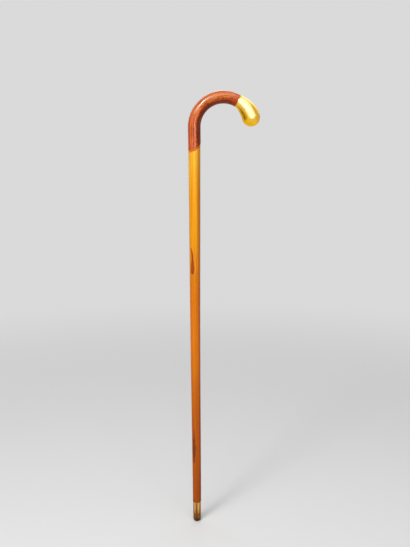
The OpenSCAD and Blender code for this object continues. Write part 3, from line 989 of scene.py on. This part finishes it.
def worn_brass():
    """Dull brass with brown tarnish spots, painted reflection streaks that run up and down, painted shade towards
    the bottom, and scratches from the ground.
    """
    material, tree, shader = new_material("worn brass")
    colour = finishes()
    vector = object_place(tree)
    height = parts(tree, vector)[2]
    # Painted reflection streaks, laid in the tarnish colour.
    streaks = painted_reflection_streaks(tree, vector)
    spots = ramp(tree, noise(tree, vector, 1 / (1.3 * MM), 3.0, 0.6), 0.56, 0.74)
    # Painted shade: the tube darkens towards the bottom.
    low = ramp(tree, height, 17 * MM, 32 * MM, 0.6, 0)
    # The tarnish mask mixes real tarnish spots with the painted reflection streaks and the painted shade towards the
    # bottom.
    tarnish = calc(tree, "MINIMUM", 1.0, calc(tree, "ADD", calc(tree, "MULTIPLY", streaks, 0.9),
                                              calc(tree, "ADD", calc(tree, "MULTIPLY", spots, 0.35), low)))
    base = mix(tree, tarnish, colour.brass, colour.brass_dark)
    under_rim = calc(tree, "SUBTRACT", TUBE_HIGH.z, height)
    seam = use_group(tree, "seam dirt", Vector=vector, Distance=calc(tree, "SUBTRACT", height, TUBE_LOW.z),
                     Width=0.5 * MM)["Mask"]
    rim = ramp(tree, under_rim, 0.3 * MM, 1.2 * MM, 0.6, 0)
    base = mix(tree, rim, base, colour.brass)
    base = mix(tree, seam, base, colour.dirt)
    scratch = use_group(tree, "fine scratches", Vector=vector, Spacing=1.2 * MM, Length=9 * MM, Amount=1.0)
    rough = calc(tree, "ADD", ramp(tree, tarnish, 0, 1, 0.27, 0.46), calc(tree, "MULTIPLY", scratch["Mask"], 0.1))
    height_map = calc(tree, "ADD", scratch["Height"], calc(tree, "MULTIPLY", spots, -0.5))
    wire(tree, shader, Base_Color=base, Metallic=1.0, Roughness=rough,
         Normal=bump(tree, height_map, 0.03 * MM, 0.7))
    return material


def browned_steel():
    """Browned steel, bright where the ground has worn its edge, pitted above."""
    material, tree, shader = new_material("browned steel")
    colour = finishes()
    vector = object_place(tree)
    x, y, height = parts(tree, vector)
    grit = noise(tree, vector, 1 / (1.1 * MM), 4.0, 0.65)
    worn_to = calc(tree, "ADD", height, calc(tree, "MULTIPLY", calc(tree, "SUBTRACT", grit, 0.5), 3 * MM))
    bright = ramp(tree, worn_to, 0.1 * MM, 0.8 * MM, 0.5, 0)
    # Darker towards the bottom.
    bottom_darkening = ramp(tree, worn_to, 0, 13 * MM, 0.8, 0)
    rust = ramp(tree, noise(tree, stretched(tree, vector, 3 * MM, 9 * MM), 1.0, 3.0), 0.45, 0.7)
    base = mix(tree, calc(tree, "MULTIPLY", rust, 0.5), colour.steel, colour.dirt)
    # Painted reflection: dark streaks up and down the tip, in the dirt colour.
    base = mix(tree, calc(tree, "MULTIPLY", painted_reflection_streaks(tree, vector), 0.45), base, colour.dirt)
    base = mix(tree, bottom_darkening, base, colour.dirt)
    base = mix(tree, bright, base, colour.steel_bright)
    seam = use_group(tree, "seam dirt", Vector=vector, Distance=calc(tree, "SUBTRACT", height, TUBE_LOW.z),
                     Width=0.5 * MM)["Mask"]
    base = mix(tree, seam, base, colour.dirt)
    pits = ramp(tree, grit, 0.55, 0.75)
    rough = calc(tree, "ADD", ramp(tree, rust, 0, 1, 0.34, 0.5), calc(tree, "MULTIPLY", pits, 0.15))
    wire(tree, shader, Base_Color=base, Metallic=0.9, Roughness=rough,
         Normal=bump(tree, calc(tree, "MULTIPLY", pits, -1.0), 0.08 * MM, 0.8))
    return material


def tarnished_pin():
    """Small brass pin, brown with age, with darker stains."""
    material, tree, shader = new_material("tarnished pin")
    colour = finishes()
    vector = object_place(tree)
    stain = ramp(tree, noise(tree, vector, 1 / (0.5 * MM), 3.0), 0.4, 0.65)
    base = mix(tree, stain, colour.brass_dark, colour.dirt)
    wire(tree, shader, Base_Color=base, Metallic=0.9, Roughness=ramp(tree, stain, 0, 1, 0.35, 0.55),
         Normal=bump(tree, stain, 0.02 * MM))
    return material


def bare_wood(name, pale, dark):
    """Plain unvarnished wood of the hidden dowel."""
    material, tree, shader = new_material(name)
    fibre = use_group(tree, "wood fibre", Vector=object_place(tree), Width=0.5 * MM, Length=25 * MM)
    base = mix(tree, fibre["Fibre"], pale, dark)
    base = mix(tree, calc(tree, "MULTIPLY", fibre["Pores"], 0.5), base, dark)
    wire(tree, shader, Base_Color=base, Roughness=0.7, Normal=bump(tree, fibre["Height"], 0.06 * MM))
    return material


def set_resin():
    """Dull red-brown resin with small bubbles and a cloudy body."""
    material, tree, shader = new_material("set resin")
    vector = object_place(tree)
    cloud = ramp(tree, noise(tree, vector, 1 / (5 * MM), 4.0), 0.35, 0.7)
    bubbles = put(tree, "ShaderNodeTexVoronoi", {"Vector": vector, "Scale": 1 / (1.8 * MM)}).outputs["Distance"]
    pits = ramp(tree, bubbles, 0.12, 0.22, 1, 0)
    base = mix(tree, cloud, linear(132, 84, 60), linear(96, 54, 36))
    base = mix(tree, calc(tree, "MULTIPLY", pits, 0.6), base, finishes().dirt)
    wire(tree, shader, Base_Color=base, Roughness=ramp(tree, cloud, 0, 1, 0.45, 0.65),
         Normal=bump(tree, calc(tree, "MULTIPLY", pits, -1.0), 0.15 * MM))
    return material


def paint_node(name, material):
    """Gives a node of the frame that stays in view a material of its own."""
    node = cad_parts[name]
    node.data.materials.clear()
    node.data.materials.append(material)


# The stage


def aim(azimuth, elevation, distance, target):
    """Place at a direction from a target, with azimuth 0 in front and 90 at the nose's side."""
    a, e = math.radians(azimuth), math.radians(elevation)
    return target + distance * Vector((math.sin(a) * math.cos(e), -math.cos(a) * math.cos(e), math.sin(e)))


def add_panel(name, azimuth, elevation, distance, width, height, brightness, target, shape="RECTANGLE"):
    """Adds a soft light that faces the target."""
    location = aim(azimuth, elevation, distance, target)
    rotation = (location - target).to_track_quat("Z", "Y").to_euler()
    deselect_all()
    bpy.ops.object.light_add(type="AREA", location=location, rotation=rotation)
    light = bpy.context.object
    light.name = name
    light.data.shape = shape
    light.data.size = width
    light.data.size_y = height
    round_share = math.pi / 4 if shape == "ELLIPSE" else 1
    light.data.energy = brightness * math.pi * width * height * round_share
    light.visible_camera = False
    return light


def seen_directly(tree):
    """1 for camera, glossy and transmission rays, which see the backdrop, and 0 for the rest."""
    ray = put(tree, "ShaderNodeLightPath").outputs
    seen = calc(tree, "MAXIMUM", ray["Is Camera Ray"], ray["Is Glossy Ray"])
    return calc(tree, "MAXIMUM", seen, ray["Is Transmission Ray"])


def lay_floor():
    """Lays a plain pale floor that fades into the backdrop far from the cane."""
    deselect_all()
    bpy.ops.mesh.primitive_circle_add(vertices=96, radius=9.0, fill_type="NGON", location=(0, 0, 0))
    floor = bpy.context.object
    floor.name = "floor"
    material = bpy.data.materials.new("studio floor")
    material.use_nodes = True
    tree = material.node_tree
    tree.nodes.clear()
    away = vector_calc(tree, "LENGTH", object_place(tree)).outputs["Value"]
    mirrored = put(tree, "ShaderNodeLightPath").outputs["Is Glossy Ray"]
    nearer = calc(tree, "MULTIPLY", ramp(tree, away, 0.05, 0.5), mirrored)
    fade = calc(tree, "MAXIMUM", nearer, calc(tree, "MULTIPLY", ramp(tree, away, 0.6, 2.2), seen_directly(tree)))
    plain = put(tree, "ShaderNodeBsdfDiffuse", {"Color": (0.8, 0.8, 0.8, 1)}).outputs[0]
    level = staging().backdrop
    glow = ramp(tree, calc(tree, "MULTIPLY", mirrored, ramp(tree, away, 3.0, 0.5)), 0, 1, level, 0.9)
    back = put(tree, "ShaderNodeEmission", {"Color": (1, 1, 1, 1), "Strength": glow}).outputs[0]
    both = put(tree, "ShaderNodeMixShader", {0: fade, 1: plain, 2: back}).outputs[0]
    put(tree, "ShaderNodeOutputMaterial", {"Surface": both})
    floor.data.materials.append(material)


def light_world():
    """Even fill light, and a pale backdrop for what is seen directly or mirrored."""
    world = bpy.data.worlds.new("studio")
    bpy.context.scene.world = world
    world.use_nodes = True
    tree = world.node_tree
    tree.nodes.clear()
    stage = staging()
    fill = put(tree, "ShaderNodeBackground", {"Color": (1, 1, 1, 1), "Strength": stage.fill}).outputs[0]
    back = put(tree, "ShaderNodeBackground", {"Color": (1, 1, 1, 1), "Strength": stage.backdrop}).outputs[0]
    both = put(tree, "ShaderNodeMixShader", {0: seen_directly(tree), 1: fill, 2: back}).outputs[0]
    put(tree, "ShaderNodeOutputWorld", {"Surface": both})


def hang_lights():
    stage = staging()
    handle = Vector((40 * MM, 0, 850 * MM))
    for number, share in enumerate((0.75, 1.0, 0.85, 0.4, 0.25)):
        add_panel(f"front light {number + 1}", 20 * number - 26, 25, 2.6, 0.96, 1.75, stage.front * share, handle)
    add_panel("low light", -2, -4, 2.6, 3.4, 0.7, stage.low, handle)
    add_panel("lamp light", -36, 36, 2.4, 0.6, 0.6, stage.lamp, handle, "ELLIPSE")
    add_panel("lamp halo", -36, 36, 2.42, 1.6, 1.6, stage.halo, handle, "ELLIPSE")
    for azimuth in (3, 27):
        add_panel(f"strip light {azimuth}", azimuth, -3, 2.5, 0.14, 0.7, stage.strip, handle)
    add_panel("top light", 30, 66, 2.4, 2.6, 1.6, stage.top, handle)
    for azimuth in (-155, 155):
        add_panel(f"back light {azimuth}", azimuth, 34, 3.0, 3.0, 2.0, stage.back, handle)


def set_camera():
    """Puts the camera where the photograph was taken from, seen from the upright cane."""
    image_height, focal_px, sensor = 547, 700, 36.0
    pitch, roll = math.radians(10.37), math.radians(-0.29)
    deselect_all()
    bpy.ops.object.camera_add(location=(19.35 * MM, -1373.5 * MM, 784.9 * MM))
    camera = bpy.context.object
    turned = Matrix.Rotation(math.pi / 2 - pitch, 3, "X") @ Matrix.Rotation(roll, 3, "Z")
    camera.rotation_euler = turned.to_euler()
    camera.data.sensor_width = sensor
    camera.data.lens = focal_px / image_height * sensor
    bpy.context.scene.camera = camera


# Operators


class CaneOperator:
    bl_options = {"REGISTER", "UNDO"}


class CANE_OT_finishes(CaneOperator, bpy.types.Operator):
    """Builds the shared shader groups for grain, scratches, handling and dirt"""
    bl_idname = "cane.finishes"
    bl_label = "Shared Finishes"

    def execute(self, context):
        build_groups()
        return {"FINISHED"}


class CANE_OT_crook(CaneOperator, bpy.types.Operator):
    """Models the bent crook and varnishes it"""
    bl_idname = "cane.crook"
    bl_label = "Crook"

    def execute(self, context):
        finish_piece(shape_crook(), "crook", crook_varnish())
        return {"FINISHED"}


class CANE_OT_shaft(CaneOperator, bpy.types.Operator):
    """Models the tapered shaft and varnishes it"""
    bl_idname = "cane.shaft"
    bl_label = "Shaft"

    def execute(self, context):
        finish_piece(shape_shaft(), "shaft", shaft_varnish())
        return {"FINISHED"}


class CANE_OT_cap(CaneOperator, bpy.types.Operator):
    """Models the hollow gilt nose cap"""
    bl_idname = "cane.cap"
    bl_label = "Nose Cap"

    def execute(self, context):
        finish_piece(shape_cap(), "nose_cap", polished_gilt())
        return {"FINISHED"}


class CANE_OT_ferrule(CaneOperator, bpy.types.Operator):
    """Models the brass tube and the steel tip at the foot"""
    bl_idname = "cane.ferrule"
    bl_label = "Ferrule and Tip"

    def execute(self, context):
        finish_piece(shape_tube(), "ferrule", worn_brass())
        finish_piece(shape_tip(), "ferrule_tip", browned_steel())
        return {"FINISHED"}


class CANE_OT_pins(CaneOperator, bpy.types.Operator):
    """Models the pins of the cap and the ferrule"""
    bl_idname = "cane.pins"
    bl_label = "Pins"

    def execute(self, context):
        metal = tarnished_pin()
        front = shape_pin("cap_pin_head", CAP_PIN_LOW, CAP_PIN_HIGH, -1)
        finish_piece(front, "cap_pin", metal, 60)
        back = shape_pin("tube_pin_head", TUBE_PIN_LOW, TUBE_PIN_HIGH, 1)
        finish_piece(back, "ferrule_pin", metal, 60)
        return {"FINISHED"}


class CANE_OT_inside(CaneOperator, bpy.types.Operator):
    """Finishes the hidden dowel and the resin in the cap"""
    bl_idname = "cane.inside"
    bl_label = "Hidden Pieces"

    def execute(self, context):
        paint_node("joint_dowel", bare_wood("bare dowel", linear(214, 182, 134), linear(176, 138, 92)))
        paint_node("cap_filler", set_resin())
        return {"FINISHED"}


class CANE_OT_stage(CaneOperator, bpy.types.Operator):
    """Sets the floor, the lights, the backdrop and the camera"""
    bl_idname = "cane.stage"
    bl_label = "Stage"

    def execute(self, context):
        lay_floor()
        light_world()
        hang_lights()
        set_camera()
        context.scene.view_settings.view_transform = "Standard"
        return {"FINISHED"}


class CANE_PT_panel(bpy.types.Panel):
    bl_label = "Walking Cane"
    bl_idname = "CANE_PT_panel"
    bl_space_type = "VIEW_3D"
    bl_region_type = "UI"
    bl_category = "Cane"

    def draw(self, context):
        column = self.layout.column()
        for operator in OPERATORS:
            column.operator(operator.bl_idname)
        for group in GROUPS:
            settings = getattr(context.scene, group)
            for key in settings.bl_rna.properties.keys():
                if key not in ("rna_type", "name"):
                    column.prop(settings, key)


GROUPS = {
    "cane_sizes": CaneSizes,
    "cane_cap": CapSizes,
    "cane_ferrule": FerruleSizes,
    "cane_finishes": Finishes,
    "cane_stage": StageSettings,
}
OPERATORS = (CANE_OT_finishes, CANE_OT_crook, CANE_OT_shaft, CANE_OT_cap, CANE_OT_ferrule, CANE_OT_pins,
             CANE_OT_inside, CANE_OT_stage)


def register():
    for group in GROUPS.values():
        bpy.utils.register_class(group)
    for operator in OPERATORS:
        bpy.utils.register_class(operator)
    bpy.utils.register_class(CANE_PT_panel)
    for name, group in GROUPS.items():
        setattr(bpy.types.Scene, name, PointerProperty(type=group))


def unregister():
    for name in GROUPS:
        delattr(bpy.types.Scene, name)
    bpy.utils.unregister_class(CANE_PT_panel)
    for operator in reversed(OPERATORS):
        bpy.utils.unregister_class(operator)
    for group in reversed(list(GROUPS.values())):
        bpy.utils.unregister_class(group)


def main():
    register()
    bpy.ops.cane.finishes()
    bpy.ops.cane.crook()
    bpy.ops.cane.shaft()
    bpy.ops.cane.cap()
    bpy.ops.cane.ferrule()
    bpy.ops.cane.pins()
    bpy.ops.cane.inside()
    bpy.ops.cane.stage()


if __name__ == "__main__":
    main()
